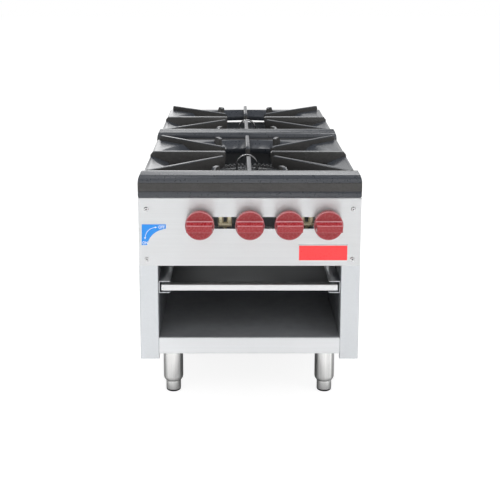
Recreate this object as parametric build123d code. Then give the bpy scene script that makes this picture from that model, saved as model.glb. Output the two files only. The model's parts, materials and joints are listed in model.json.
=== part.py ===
from build123d import *
from math import cos, pi, radians, sin
import os

os.makedirs("parts", exist_ok=True)

# Stock pot range with two burners, front and rear, on a short stainless cabinet.
# Millimetres. X runs to the right, Y to the back, Z up from the floor.
# Distances called "behind" are measured back from the face of the control panel.

# --- overall ---
width = 457.0
body_depth = 1050.0          # control panel face to the outside of the back panel
leg_height = 106.0           # floor to the underside of the base
body_top = 447.0             # floor to the flanges that carry the grates
knob_reach = 52.0            # control panel face to the front of a knob's grip bar
inlet_reach = 25.0           # back panel to the end of the gas inlet

half_width = width / 2
panel_y = (knob_reach - body_depth - inlet_reach) / 2

# --- sheet metal ---
sheet = 1.2                  # stainless skins
inner_sheet = 1.0            # black liners and shelf
channel_sheet = 1.5          # base channels
bend = 1.0                   # inside radius of a fold
post_width = 39.0
post_return = 12.0
seat_flange = 26.0           # inward flange that carries a grate's side
foot_flange = 20.0
rear_flange = 20.0
skirt_drop = 7.5             # how far the side panels hang below the base

# --- control panel ---
panel_height = 145.0
panel_top_return = 18.0
panel_bottom_return = 12.0
slot_margin = 16.0           # outer knob's axis to the slot's end
slot_height = 25.0
screw_inset = 16.5           # panel screws from the panel's side edges
screw_edge_top = 24.0
screw_edge_bottom = 14.5
screw_radius = 2.0
screw_head_radius = 5.0
screw_head_height = 2.6
screw_hole_gap = 0.2
front_screw_length = 6.0
rear_screw_length = 5.0

# --- cabinet floor ---
rail_height = 36.0           # lower front rail
rail_recess = 1.5
rail_top_return = 20.0
rail_bottom_return = 12.0
base_height = 39.0
channel_width = 105.0
shelf_drop = 15.0
back_panel_drop = 7.5        # below the side panels' top edges
liner_drop = 10.5            # inner walls' top flanges, under the back panel's fold
back_panel_return = 15.0
back_panel_inset = 2.0

# --- crumb tray ---
tray_rail_height = 25.1
tray_rail_top = 267.7
tray_rail_reach = 24.0       # web to flange edge
tray_rail_corner = 4.0
tray_rail_front = 4.0
tray_play = 4.0              # rail web to tray, each side
tray_slip = 0.2              # tray floor above the rail's lower flange
tray_height = 17.0
tray_length = 985.0
tray_sheet = 1.0
tray_lip_height = 12.7
tray_lip_depth = 18.0
tray_corner = 4.0

# --- legs and feet ---
leg_inset = 64.0             # leg's axis from the cabinet's side
leg_behind = 70.0
leg_radius = 21.25
leg_wall = 1.5
leg_plate = 80.0
leg_plate_thickness = 4.0
leg_bolt_spacing = 60.0
leg_bolt_radius = 3.0
leg_bolt_head_radius = 5.6
leg_bolt_head_height = 4.0
leg_bolt_above = 8.0
leg_plate_corner = 6.0
bolt_hole_gap = 0.3
leg_insert_height = 24.0
foot_radius = 16.0
foot_height = 24.0
foot_stud_radius = 6.0
foot_stud_length = 45.0

# --- grates ---
grate_pitch = 525.0
grate_length = 523.0
grate_overhang = 3.0         # front rail's face in front of the panel
grate_side_gap = 4.0         # grate's plate inside the cabinet's side
grate_skin = 5.0
grate_plate_height = 36.5
grate_rear_drop = 9.5        # plate's fall behind the bowl, to its rear edge
grate_edge_bevel = 2.5
grate_rail_height = 53.0
grate_rail_depth = 24.0
bowl_behind = 257.6          # bowl centre behind the panel's face
bowl_rim_radius = 216.0
bowl_throat_radius = 181.0
bowl_throat_height = 22.0
bowl_collar_foot = 10.0
fin_thickness = 8.8
fin_top = 49.0
fin_tip_foot = 24.5
fin_bevel = 1.6
fin_tip_bevel = (3.0, 3.0)    # length and fall at the tips of the side and diagonal fins
long_tip_bevel = (17.0, 4.5)  # the same on the fins that run fore and aft
pot_gap = 104.0              # square opening between the fins' tips
fin_corner_inset = 11.0      # diagonal fins' ends from the plate's corner
short_fin_turns = (68.5, 111.5, 248.5, 291.5)
flue_inset = 24.0
flue_rise = 20.0             # notch in the rear skirt for the burnt gas
support_half_width = 20.0    # cross channel under the joint of the grates
support_drop = 30.0

# --- burners ---
burner_depth = 20.0
burner_wall = 4.0
outer_ring_radius = 102.0
inner_ring_radius = 46.0
outer_ring_width = 30.0
inner_ring_width = 29.0
tooth_height = 5.0
tooth_thickness = 4.6
tooth_pitch = 9.6
tooth_groove = 5.0           # groove that parts the two rows of teeth
tube_radius = 13.5
tube_wall = 3.5
tube_bend = 26.0
drum_radius = 20.0
drum_length = 26.0
drum_wall = 3.0
throat_length = 34.0
window_length = 14.0
window_angle = 70.0
shutter_thickness = 1.3
running_gap = 0.08
burner_bar_thickness = 4.0
burner_bar_width = 20.0
burner_bar_behinds = (-12.0, 36.0)   # behind the burner's centre
burner_bar_tab = 25.0

# --- gas train ---
left_knob_inset = 87.5       # outer knobs' axes from the front posts
right_knob_inset = 29.5
front_valve_indices = (1, 2)
knob_axis_drop = 53.0
knob_radius = 29.75
knob_back = 12.0             # panel face to the back of a knob
knob_face = 26.0             # panel face to the knob's round face
knob_bar_root = 8.7          # half thickness of the grip bar at the face
knob_bar_tip = 7.2
knob_hollow_radius = 25.0
knob_hollow_depth = 8.0
knob_hub_radius = 8.0
stem_radius = 4.0
stem_grip = 20.0             # stem inside the knob
stem_seat = 16.0             # stem inside the valve
valve_radius = 11.0
valve_front = 16.0
valve_length = 44.0
bonnet_radius = 13.5
bonnet_thickness = 4.0
valve_port_radius = 6.5
manifold_radius = 13.35
manifold_behind = 46.0
manifold_drop = 36.0         # knob axis to the manifold's axis
manifold_end_inset = 11.5    # capped right end from the front post
inlet_inset = 39.5           # gas inlet from the left post
manifold_saddle = 18.0       # half depth of the rail under the manifold
manifold_rail_flange = 25.0
manifold_rail_sheet = 2.0
clamp_half_width = 9.0
clamp_band = 3.0
inlet_thread_radius = 13.1
inlet_thread_length = 19.0
elbow_radius = 16.5
hood_radius = 7.0
hood_length = 14.0
nozzle_radius = 4.5
nozzle_length = 12.0
hood_to_drum = 4.0
supply_radius = 6.0
supply_bend = 22.0
supply_turn = 30.0           # cross run in front of the rear hoods
bracket_half_height = 14.0
bracket_sheet = 2.0
clamp_share = 0.4706         # left clamp between its knob and the pilot valve
pilot_rise = 7.5             # pilot valve's body above the manifold's skin
pilot_body_radius = 5.6
pilot_body_half = 14.0
pilot_post_offset = 9.2      # its two upright hexagons, either side
pilot_post_radius = 5.6
pilot_post_height = 20.0
pilot_tube_radius = 2.2
pilot_bend = 5.0
pilot_arch_radius = 23.0
pilot_arch_top = 486.5
pilot_arch_x = -3.0

# --- places worked out from the sizes above ---
post_inner = half_width - post_width
screw_side = half_width - screw_inset
leg_side = half_width - leg_inset
grate_half_width = half_width - grate_side_gap
right_knob_x = post_inner - right_knob_inset
knob_xs = (left_knob_inset - post_inner, 0.0, right_knob_x / 2, right_knob_x)
pilot_xs = (knob_xs[0] / 2, (knob_xs[2] + knob_xs[3]) / 2)
clamp_xs = (knob_xs[0] + clamp_share * (pilot_xs[0] - knob_xs[0]), knob_xs[2] / 2)
inlet_x = inlet_inset - post_inner
manifold_end = post_inner - manifold_end_inset
post_front = sheet
liner_inner = post_inner - inner_sheet
liner_top = body_top - liner_drop
knob_z = body_top - knob_axis_drop
base_top = leg_height + base_height
shelf_top = base_top + inner_sheet
burner_floor = knob_z + tube_bend
burner_top = burner_floor + burner_depth
manifold_z = knob_z - manifold_drop
tray_rail_bottom = tray_rail_top - tray_rail_height
valve_back = valve_front + valve_length
hood_behind = valve_back
drum_behind = hood_behind + hood_length + hood_to_drum
screw_heights = (body_top - screw_edge_top, body_top - panel_height + screw_edge_bottom)
rear_screw_side = half_width - rear_flange / 2
rear_screw_heights = [leg_height + fraction * (body_top - leg_height) for fraction in (0.12, 0.5, 0.88)]


def block(x, behind, z):
    """A block between low and high limits on each axis."""
    limits = (x, behind, z)
    size = [high - low for low, high in limits]
    middle = [(high + low) / 2 for low, high in limits]
    return Pos(middle[0], panel_y + middle[1], middle[2]) * Box(*size)


def tube_x(radius, x, behind, z):
    """A round bar along X between two x values."""
    length = x[1] - x[0]
    place = Location(((x[0] + x[1]) / 2, panel_y + behind, z), (0, 90, 0))
    return place * Cylinder(radius, length)


def tube_y(radius, x, behind, z):
    """A round bar along Y between two distances behind the panel."""
    length = behind[1] - behind[0]
    place = Location((x, panel_y + (behind[0] + behind[1]) / 2, z), (90, 0, 0))
    return place * Cylinder(radius, length)


def tube_z(radius, x, behind, z):
    """A round bar along Z between two heights."""
    length = z[1] - z[0]
    return Pos(x, panel_y + behind, (z[0] + z[1]) / 2) * Cylinder(radius, length)


def folded(points, thickness):
    """Section of a folded sheet: the outer line, thickened to its left."""
    line = FilletPolyline(*points, radius=bend + thickness)
    return make_face(line.offset_2d(thickness, side=Side.LEFT, closed=True))


def along_x(section, x):
    """Extrude a section drawn in (behind, z) between two x values."""
    plane = Plane(origin=(x[0], panel_y, 0), x_dir=(0, 1, 0), z_dir=(1, 0, 0))
    return extrude(plane * section, amount=x[1] - x[0])


def along_y(section, behind):
    """Extrude a section drawn in (x, z) between two distances behind the panel."""
    plane = Plane(origin=(0, panel_y + behind[1], 0), x_dir=(1, 0, 0), z_dir=(0, -1, 0))
    return extrude(plane * section, amount=behind[1] - behind[0])


def along_z(section, z):
    """Extrude a section drawn in (x, behind) between two heights."""
    plane = Plane(origin=(0, panel_y, z[0]), x_dir=(1, 0, 0), z_dir=(0, 0, 1))
    return extrude(plane * section, amount=z[1] - z[0])


def outline(*points):
    """A closed face through points."""
    return make_face(Polyline(*points, close=True))


def turned(points, x, behind, z, axis):
    """Revolve a closed outline of (radius, distance along the axis)."""
    directions = {"x": (1, 0, 0), "y": (0, 1, 0), "z": (0, 0, 1)}
    sides = {"x": (0, 0, 1), "y": (0, 0, 1), "z": (1, 0, 0)}
    forward = Vector(*directions[axis])
    side = Vector(*sides[axis])
    center = Vector(x, panel_y + behind, z)
    plane = Plane(origin=center, x_dir=side, z_dir=side.cross(forward))
    return revolve(plane * outline(*points), axis=Axis(center, forward))


def mirrored(shape):
    return mirror(shape, about=Plane.YZ)


def save(name, *shapes):
    """Write one node. Several shapes stay separate solids of one node."""
    whole = shapes[0] if len(shapes) == 1 else Compound(children=list(shapes))
    export_step(whole, f"parts/{name}.step")


# ---------------------------------------------------------------- cabinet

def side_panel():
    """Right side: wall, front post with its return, rear flange, seat and foot flanges."""
    rear = body_depth - sheet
    plan = folded([(post_inner, post_front + post_return), (post_inner, post_front),
                   (half_width, post_front), (half_width, rear),
                   (half_width - rear_flange, rear)], sheet)
    panel = along_z(plan, (leg_height - skirt_drop, body_top - sheet))
    panel += block((half_width - seat_flange, half_width), (panel_top_return + running_gap, rear),
                   (body_top - sheet, body_top))
    panel += block((half_width - foot_flange, half_width - sheet), (post_front + sheet, rear - sheet),
                   (leg_height - sheet, leg_height))
    panel -= block((post_inner - 1, half_width + 1), (0, panel_top_return + running_gap),
                   (body_top - sheet - bend - 0.2, body_top + 1))
    for z in screw_heights:
        panel -= tube_y(screw_radius + screw_hole_gap, screw_side, (0, 2 * sheet + 1), z)
    for z in rear_screw_heights:
        panel -= tube_y(screw_radius + screw_hole_gap, rear_screw_side, (rear - sheet - 1, rear + 1), z)
    return panel


def control_panel():
    """Front panel with folded edges and the long slot that the valve stems pass through."""
    bottom = body_top - panel_height
    section = folded([(panel_top_return, body_top), (0, body_top), (0, bottom),
                      (panel_bottom_return, bottom)], sheet)
    panel = along_x(section, (-half_width, half_width))
    for side in (-1, 1):
        inner, outer = sorted((side * (post_inner - running_gap), side * half_width))
        panel -= block((inner, outer), (sheet, panel_bottom_return + 1), (bottom - 1, bottom + 4))
    half_slot = slot_height / 2
    panel -= block((knob_xs[0] - slot_margin, knob_xs[-1] + slot_margin), (-1, sheet + 1),
                   (knob_z - half_slot, knob_z + half_slot))
    for side in (-1, 1):
        for z in screw_heights:
            panel -= tube_y(screw_radius + screw_hole_gap, side * screw_side, (-1, sheet + 1), z)
    return panel


def pan_head_screw(x, behind, z, grip, direction):
    """Round-headed screw along Y; direction 1 drives it to the back."""
    dome = screw_head_radius * 0.62
    points = [(0, -screw_head_height), (dome, -screw_head_height),
              (screw_head_radius, -screw_head_height * 0.35), (screw_head_radius, 0),
              (screw_radius, 0), (screw_radius, grip), (0, grip)]
    points = [(radius, direction * along) for radius, along in points]
    return turned(points, x, behind, z, "y")


def lower_front_rail():
    front = post_front + rail_recess
    bottom = base_top - rail_height
    section = folded([(front + rail_top_return, base_top), (front, base_top), (front, bottom),
                      (front + rail_bottom_return, bottom)], sheet)
    return along_x(section, (-post_inner, post_inner))


def base_channel():
    """Right base channel, open upwards, that the legs bolt to."""
    outer = half_width - sheet
    inner = outer - channel_width
    section = folded([(inner, base_top), (inner, leg_height), (outer, leg_height),
                      (outer, base_top)], channel_sheet)
    front = post_front + rail_recess + rail_top_return + 1
    channel = along_y(section, (front, body_depth - 3 * sheet))
    hole = leg_bolt_radius + bolt_hole_gap
    for behind in (leg_behind, body_depth - leg_behind):
        for x, hole_behind in leg_bolt_places(leg_side, behind):
            channel -= tube_z(hole, x, hole_behind, (leg_height - 1, leg_height + 3))
    return channel


def bottom_shelf():
    """Black cabinet floor with its sides folded down between the channels."""
    drop = shelf_drop
    section = folded([(post_inner - running_gap, base_top - drop), (post_inner - running_gap, shelf_top),
                      (running_gap - post_inner, shelf_top), (running_gap - post_inner, base_top - drop)],
                     inner_sheet)
    front = post_front + rail_recess
    folds_behind = front + rail_top_return + 1
    shelf = along_y(section, (front, body_depth - 3 * sheet))
    for side in (-1, 1):
        x = sorted((side * (post_inner - 4), side * (post_inner + 1)))
        shelf -= block(x, (front - 1, folds_behind), (base_top - drop - 1, base_top))
    return shelf


def liner():
    """Right inner wall of the cabinet and burner box."""
    section = folded([(post_inner, shelf_top), (post_inner, liner_top),
                      (half_width - sheet, liner_top)], inner_sheet)
    return along_y(section, (post_front + post_return, body_depth - 3 * sheet))


def back_panel():
    top = body_top - back_panel_drop
    bottom = leg_height - skirt_drop
    inside = half_width - rear_flange - back_panel_inset
    fold_behind = body_depth - back_panel_return
    section = folded([(fold_behind, bottom), (body_depth, bottom), (body_depth, top),
                      (fold_behind, top)], sheet)
    panel = along_x(section, (-inside, inside))
    for side in (-1, 1):
        x = sorted((side * (inside - 1), side * half_width))
        panel += block(x, (body_depth - sheet, body_depth), (bottom + bend + sheet, top - bend - sheet))
    panel -= tube_y(manifold_radius + 1.5, inlet_x, (body_depth - 3, body_depth + 1), manifold_z)
    hole = screw_radius + screw_hole_gap
    for side in (-1, 1):
        for z in rear_screw_heights:
            panel -= tube_y(hole, side * rear_screw_side, (body_depth - 3, body_depth + 1), z)
    return panel


def tray_rail():
    """Right slide rail: a channel open to the inside, with rounded front corners."""
    web = liner_inner
    edge = web - tray_rail_reach
    section = folded([(edge, tray_rail_bottom), (web, tray_rail_bottom), (web, tray_rail_top),
                      (edge, tray_rail_top)], sheet)
    rail = along_y(section, (tray_rail_front, body_depth - 3 * sheet))
    front_y = panel_y + tray_rail_front
    corners = [e for e in rail.edges().filter_by(Axis.Z)
               if abs(e.center().Y - front_y) < 0.01 and abs(e.center().X - edge) < 0.01]
    return fillet(corners, tray_rail_corner)


def crumb_tray():
    """Shallow pan with a folded front grip, resting on the lower flanges of its rails."""
    half = liner_inner - sheet - tray_play
    floor = tray_rail_bottom + sheet + tray_slip
    top = floor + tray_height
    front = tray_rail_front - 1.0
    pan_front = front + tray_lip_depth
    pan = block((-half, half), (pan_front, front + tray_length), (floor, top))
    pan = fillet(pan.edges().filter_by(Axis.Z), tray_corner)
    hollow = block((tray_sheet - half, half - tray_sheet),
                   (pan_front + tray_sheet, front + tray_length - tray_sheet),
                   (floor + tray_sheet, top + 1))
    pan -= fillet(hollow.edges().filter_by(Axis.Z), tray_corner - tray_sheet)
    grip = folded([(pan_front + 4, top), (front, top), (front, top - tray_lip_height)], tray_sheet)
    grip = along_x(grip, (-half, half))
    grip -= block((4.2 - half, half - 4.2), (pan_front + tray_sheet, pan_front + 6), (top - 3, top + 1))
    return pan + grip


def leg_bolt_places(x, behind):
    half = leg_bolt_spacing / 2
    return [(x + i * half, behind + j * half) for i in (-1, 1) for j in (-1, 1)]


def leg(x, behind):
    """Tube with a welded top plate, its lower end rolled in round a threaded insert."""
    plate_foot = leg_height - leg_plate_thickness
    foot_top = foot_height + 0.3
    bore = foot_stud_radius + running_gap / 2
    inner = leg_radius - leg_wall
    insert_top = foot_top + leg_insert_height
    points = [(bore, foot_top), (foot_radius + 0.6, foot_top), (leg_radius - 2.6, foot_top + 2.2),
              (leg_radius - 0.6, foot_top + 5.6), (leg_radius, foot_top + 9.0), (leg_radius, plate_foot),
              (inner, plate_foot), (inner, insert_top), (bore, insert_top)]
    tube = turned(points, x, behind, 0, "z")
    half = leg_plate / 2
    plate = block((x - half, x + half), (behind - half, behind + half), (plate_foot, leg_height))
    plate = fillet(plate.edges().filter_by(Axis.Z), leg_plate_corner)
    hole = leg_bolt_radius + bolt_hole_gap
    for hole_x, hole_behind in leg_bolt_places(x, behind):
        plate -= tube_z(hole, hole_x, hole_behind, (plate_foot - 1, leg_height + 1))
    return tube + plate


def leg_bolt(x, behind):
    """Hexagon bolt from below, with its head under the leg's plate."""
    plate_foot = leg_height - leg_plate_thickness
    place = Pos(x, panel_y + behind, plate_foot)
    head = extrude(place * RegularPolygon(leg_bolt_head_radius, 6), amount=-leg_bolt_head_height)
    return head + tube_z(leg_bolt_radius, x, behind, (plate_foot, leg_height + leg_bolt_above))


def foot(x, behind):
    """Adjustable foot with its threaded stud."""
    points = [(0, 0), (foot_radius - 3.0, 0), (foot_radius - 0.8, 1.4), (foot_radius, 4.0),
              (foot_radius, foot_height), (foot_stud_radius, foot_height),
              (foot_stud_radius, foot_height + foot_stud_length), (0, foot_height + foot_stud_length)]
    return turned(points, x, behind, 0, "z")


# ---------------------------------------------------------------- grates

def fin(tip, end, slant, tip_bevel=fin_tip_bevel):
    """One pot-bearing fin along +X from its tip to its outer end, in the grate's own frame."""
    tip_face = fin_tip_foot
    run, fall = tip_bevel
    points = [(tip, tip_face), (tip, fin_top - fall), (tip + run, fin_top), (end - slant, fin_top),
              (end, grate_plate_height + 4), (end, grate_plate_height - grate_skin / 2)]
    if end > bowl_throat_radius:
        points += [(min(end, bowl_rim_radius), grate_plate_height - grate_skin / 2),
                   (bowl_throat_radius + 1, bowl_throat_height - grate_skin / 2),
                   (bowl_throat_radius + 1, bowl_collar_foot)]
    section = outline(*[p for i, p in enumerate(points) if i == 0 or p != points[i - 1]])
    plane = Plane(origin=(0, fin_thickness / 2, 0), x_dir=(1, 0, 0), z_dir=(0, -1, 0))
    shape = extrude(plane * section, amount=fin_thickness)
    crest = [e for e in shape.edges().filter_by(Axis.X) if abs(e.center().Z - fin_top) < 0.01]
    return chamfer(crest, fin_bevel)


def short_fin():
    """Short rib on the bowl between a diagonal fin and a centre fin."""
    section = outline((bowl_throat_radius, bowl_collar_foot), (bowl_throat_radius, fin_top - 2),
                      (bowl_throat_radius + 2, fin_top), (bowl_rim_radius - 14, fin_top),
                      (bowl_rim_radius - 3, grate_plate_height),
                      (bowl_rim_radius - 3, grate_plate_height - grate_skin),
                      (bowl_throat_radius + 3, bowl_throat_height - grate_skin),
                      (bowl_throat_radius + 3, bowl_collar_foot))
    plane = Plane(origin=(0, fin_thickness / 2, 0), x_dir=(1, 0, 0), z_dir=(0, -1, 0))
    return extrude(plane * section, amount=fin_thickness)


def section_from(left):
    """Plane for a section drawn in (y, z), at x = -left and facing right."""
    return Plane(origin=(-left, 0, 0), x_dir=(0, 1, 0), z_dir=(1, 0, 0))


def grate(center_behind):
    """Cast-iron top: raised front rail, skirted plate, sunk conical bowl and twelve fins."""
    front = -bowl_behind - grate_overhang
    back = front + grate_length
    half = grate_half_width
    height = grate_plate_height
    crease = bowl_rim_radius + grate_skin
    fall = grate_rear_drop / (back - crease)
    rear_skin = back - grate_skin
    side = outline((front + 4, 0), (front + 4, height), (crease, height),
                   (back, height - grate_rear_drop), (back, 0))
    body = extrude(section_from(half) * side, amount=2 * half)
    body = fillet(body.edges().filter_by(Axis.Z).group_by(Axis.Y)[-1], 8.0)
    rim = [e for e in body.edges().filter_by(lambda e: e.center().Z > height / 2)
           if abs(e.center().X) > 1 or abs(e.center().Y - crease) > 1]
    body = chamfer(rim, grate_edge_bevel)
    under = outline((front + 10, 0), (front + 10, height - grate_skin), (crease, height - grate_skin),
                    (rear_skin, height - grate_skin - fall * (rear_skin - crease)), (rear_skin, 0))
    inner = half - grate_skin
    body -= extrude(section_from(inner) * under, amount=2 * inner)
    body -= Cylinder(bowl_rim_radius, 3 * height)
    body -= Pos(0, back, 0) * Box(2 * (half - flue_inset), 4 * grate_skin, 2 * flue_rise)

    # raised front rail, bulging forwards, with its ends drawn in towards the top
    rail_top = grate_rail_height
    rail = outline((front + 3, 0), (front + 1.2, 2), (front + 0.8, 9.8), (front + 1.8, 11.2),
                   (front + 1.8, 12.2), (front, 13.6), (front, 30.2), (front + 1.0, 31.6),
                   (front + 0.6, 35), (front + 1.4, 40), (front + 3.2, 42.8), (front + 4.4, 43.2),
                   (front + 6.5, 46.5), (front + 15, rail_top),
                   (front + grate_rail_depth - 2, rail_top), (front + grate_rail_depth, rail_top - 3),
                   (front + grate_rail_depth, height - grate_skin), (front + grate_rail_depth, 0))
    rail = extrude(section_from(half_width) * rail, amount=width)
    ends = make_face(Curve() + [
        Line((4 - half_width, 0), (half_width - 4, 0)),
        ThreePointArc((half_width - 4, 0), (half_width - 1.2, 1.2), (half_width, 4)),
        Line((half_width, 4), (half_width, 30)),
        ThreePointArc((half_width, 30), (half_width - 1.8, 42), (half_width - 7.0, rail_top)),
        Line((half_width - 7.0, rail_top), (7.0 - half_width, rail_top)),
        ThreePointArc((7.0 - half_width, rail_top), (1.8 - half_width, 42), (-half_width, 30)),
        Line((-half_width, 30), (-half_width, 4)),
        ThreePointArc((-half_width, 4), (1.2 - half_width, 1.2), (4 - half_width, 0))])
    end_plane = Plane(origin=(0, front + grate_rail_depth + 1, 0), x_dir=(1, 0, 0), z_dir=(0, -1, 0))
    rail &= extrude(end_plane * ends, amount=grate_rail_depth + 2)
    hollow_depth = grate_rail_depth - 2 * grate_skin - 2
    hollow = Pos(0, front + grate_rail_depth / 2 + 2, (rail_top - 11) / 2)
    rail -= hollow * Box(2 * (half_width - 12), hollow_depth, rail_top - 11)

    # sunk bowl with its upright collar
    foot_radius = bowl_throat_radius + grate_skin
    slope_foot = bowl_throat_height - grate_skin * 0.7
    bowl = outline((bowl_rim_radius, height), (bowl_throat_radius, bowl_throat_height),
                   (bowl_throat_radius, bowl_collar_foot), (foot_radius, bowl_collar_foot),
                   (foot_radius, slope_foot), (bowl_rim_radius + 2, height - grate_skin),
                   (bowl_rim_radius + 2, height))
    bowl = revolve(Plane.XZ * bowl, axis=Axis.Z)
    casting = body + rail + bowl

    # fins: two across, two fore and aft, four on the diagonals and four short ribs
    tip = pot_gap / 2
    fins = [Rot(0, 0, turn) * fin(tip, half - 1.0, 7.0) for turn in (0, 180)]
    rail_middle = -front - grate_rail_depth / 2 - 2
    fins.append(Rot(0, 0, -90) * fin(tip - 3, rail_middle, 0.5, long_tip_bevel))
    fins.append(Rot(0, 0, 90) * fin(tip - 3, bowl_rim_radius, 4.0, long_tip_bevel))
    diagonal_tip = (tip + 4) * 2 ** 0.5
    diagonal_end = (half - fin_corner_inset) * 2 ** 0.5
    fins += [Rot(0, 0, turn) * fin(diagonal_tip, diagonal_end, 2.0) for turn in (45, 135, 225, 315)]
    fins += [Rot(0, 0, turn) * short_fin() for turn in short_fin_turns]
    for piece in fins:
        casting += piece
    return Pos(0, panel_y + center_behind, body_top) * casting


def middle_grate_support():
    """Black cross channel under the joint between the two grates."""
    top = body_top
    middle = bowl_behind - grate_overhang + grate_pitch / 2 + 3.0
    front = middle - support_half_width
    rear = middle + support_half_width
    drop = support_drop
    section = folded([(rear, top - drop), (rear, top), (front, top), (front, top - drop)], channel_sheet)
    reach = half_width - seat_flange - running_gap
    support = along_x(section, (-reach, reach))
    liner_flange = liner_top + inner_sheet
    for side in (-1, 1):
        x = sorted((side * (liner_inner - 0.2), side * (reach + 1)))
        support -= block(x, (front - 1, rear + 1), (top - drop - 1, liner_flange))
    return support


# ---------------------------------------------------------------- burners

def ring_burner(center_behind, ring_radius, ring_width, tube_x_place):
    """Hollow ring with a crown of teeth; its mixing tube runs forwards to an open drum."""
    ring_half = ring_width / 2
    tooth_count = round(2 * pi * ring_radius / tooth_pitch)
    neck_forward = (ring_radius ** 2 - tube_x_place ** 2) ** 0.5
    neck_behind = center_behind - neck_forward
    tube_z_place = burner_floor - tube_bend
    drum_front = drum_behind + (center_behind - bowl_behind)
    drum_back = drum_front + drum_length
    throat_back = drum_back + throat_length
    bend_behind = neck_behind - tube_bend
    bore = tube_radius - tube_wall

    ring = turned([(ring_radius - ring_half, burner_floor), (ring_radius + ring_half, burner_floor),
                   (ring_radius + ring_half, burner_top - 3), (ring_radius + ring_half - 3, burner_top),
                   (ring_radius - ring_half + 3, burner_top), (ring_radius - ring_half, burner_top - 3)],
                  0, center_behind, 0, "z")
    inside = ring_half - burner_wall
    channel = turned([(ring_radius - inside, burner_floor + burner_wall),
                      (ring_radius + inside, burner_floor + burner_wall),
                      (ring_radius + inside, burner_top - burner_wall),
                      (ring_radius - inside, burner_top - burner_wall)], 0, center_behind, 0, "z")

    # outside and inside of the mixing tube: drum, throat, straight run and upright bend
    outer = turned([(0, 0), (drum_radius, 0), (drum_radius, drum_length),
                    (tube_radius - 2.5, drum_length + 8), (tube_radius - 2.5, drum_length + 12),
                    (tube_radius, drum_length + throat_length),
                    (tube_radius, bend_behind - drum_front), (0, bend_behind - drum_front)],
                   tube_x_place, drum_front, tube_z_place, "y")
    voids = [channel]
    voids.append(turned([(0, drum_wall), (drum_radius - drum_wall, drum_wall),
                         (drum_radius - drum_wall, drum_length - drum_wall),
                         (bore - 2.5, drum_length + 8), (bore - 2.5, drum_length + 12),
                         (bore, drum_length + throat_length), (bore, bend_behind - drum_front),
                         (0, bend_behind - drum_front)], tube_x_place, drum_front, tube_z_place, "y"))
    bend_start = Vector(tube_x_place, panel_y + bend_behind, tube_z_place)
    bend_axis = Axis(bend_start + Vector(0, 0, tube_bend), (1, 0, 0))
    bend_plane = Plane(origin=bend_start, x_dir=(1, 0, 0), z_dir=(0, -1, 0))
    outer += revolve(bend_plane * Circle(tube_radius), axis=bend_axis, revolution_arc=90)
    voids.append(revolve(bend_plane * Circle(bore), axis=bend_axis, revolution_arc=90))
    voids.append(tube_z(bore, tube_x_place, neck_behind, (burner_floor, burner_floor + burner_wall)))
    front_wall = (drum_front, drum_front + drum_wall)
    voids.append(tube_y(nozzle_radius + 1.5, tube_x_place, front_wall, tube_z_place))
    voids += drum_windows(tube_x_place, drum_front, tube_z_place)
    casting = ring + outer
    for void in voids:
        casting -= void

    # two rows of teeth between the flame slots
    tooth_length = ring_width - 2 * burner_wall - 1
    tooth = Box(tooth_length, tooth_thickness, tooth_height + 1)
    crown = Pos(ring_radius, 0, tooth_height / 2 - 0.5) * tooth
    center = Pos(0, panel_y + center_behind, burner_top)
    teeth = [center * Rot(0, 0, 360 * i / tooth_count) * crown for i in range(tooth_count)]
    half_groove = tooth_groove / 2
    groove = turned([(ring_radius - half_groove, burner_top), (ring_radius + half_groove, burner_top),
                     (ring_radius + half_groove, burner_top + tooth_height + 1),
                     (ring_radius - half_groove, burner_top + tooth_height + 1)], 0, center_behind, 0, "z")
    return casting + teeth - groove


def drum_windows(x, drum_front, z):
    """Two facing cutters for the air windows, above and below the drum's axis."""
    reach = drum_radius + 4
    half = window_angle / 2
    wedge = outline((0, 0), (reach * cos(radians(-half)), reach * sin(radians(-half))), (reach * 1.3, 0),
                    (reach * cos(radians(half)), reach * sin(radians(half))))
    middle = drum_front + drum_length / 2
    cutters = []
    for direction in (90, 270):
        plane = Plane(origin=(x, panel_y + middle + window_length / 2, z), x_dir=(1, 0, 0), z_dir=(0, -1, 0))
        cutters.append(extrude(plane * (Rot(0, 0, direction) * wedge), amount=window_length))
    return cutters


def air_shutter(center_behind, x):
    """Sleeve that turns on the drum to open or close its air windows."""
    drum_front = drum_behind + (center_behind - bowl_behind)
    z = burner_floor - tube_bend
    inner = drum_radius + running_gap
    outer = inner + shutter_thickness
    margin = 2.0
    sleeve = turned([(inner, margin), (outer, margin), (outer, drum_length - margin),
                     (inner, drum_length - margin)], x, drum_front, z, "y")
    tab_x = (x - 1.5, x + 1.5)
    half_tab = outer + 5
    tab = block(tab_x, (drum_front + margin, drum_front + margin + 5), (z + outer - 0.6, z + half_tab))
    for window in drum_windows(x, drum_front, z):
        sleeve -= window
    return sleeve + tab


def burner_bar(center_behind, offset):
    """Flat bar across the burner box with a tab down each liner."""
    top = burner_floor
    bottom = top - burner_bar_tab
    section = folded([(-liner_inner, bottom), (-liner_inner, top), (liner_inner, top),
                      (liner_inner, bottom)][::-1], burner_bar_thickness)
    behind = center_behind + offset
    return along_y(section, (behind - burner_bar_width / 2, behind + burner_bar_width / 2))


# ---------------------------------------------------------------- gas train

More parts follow.
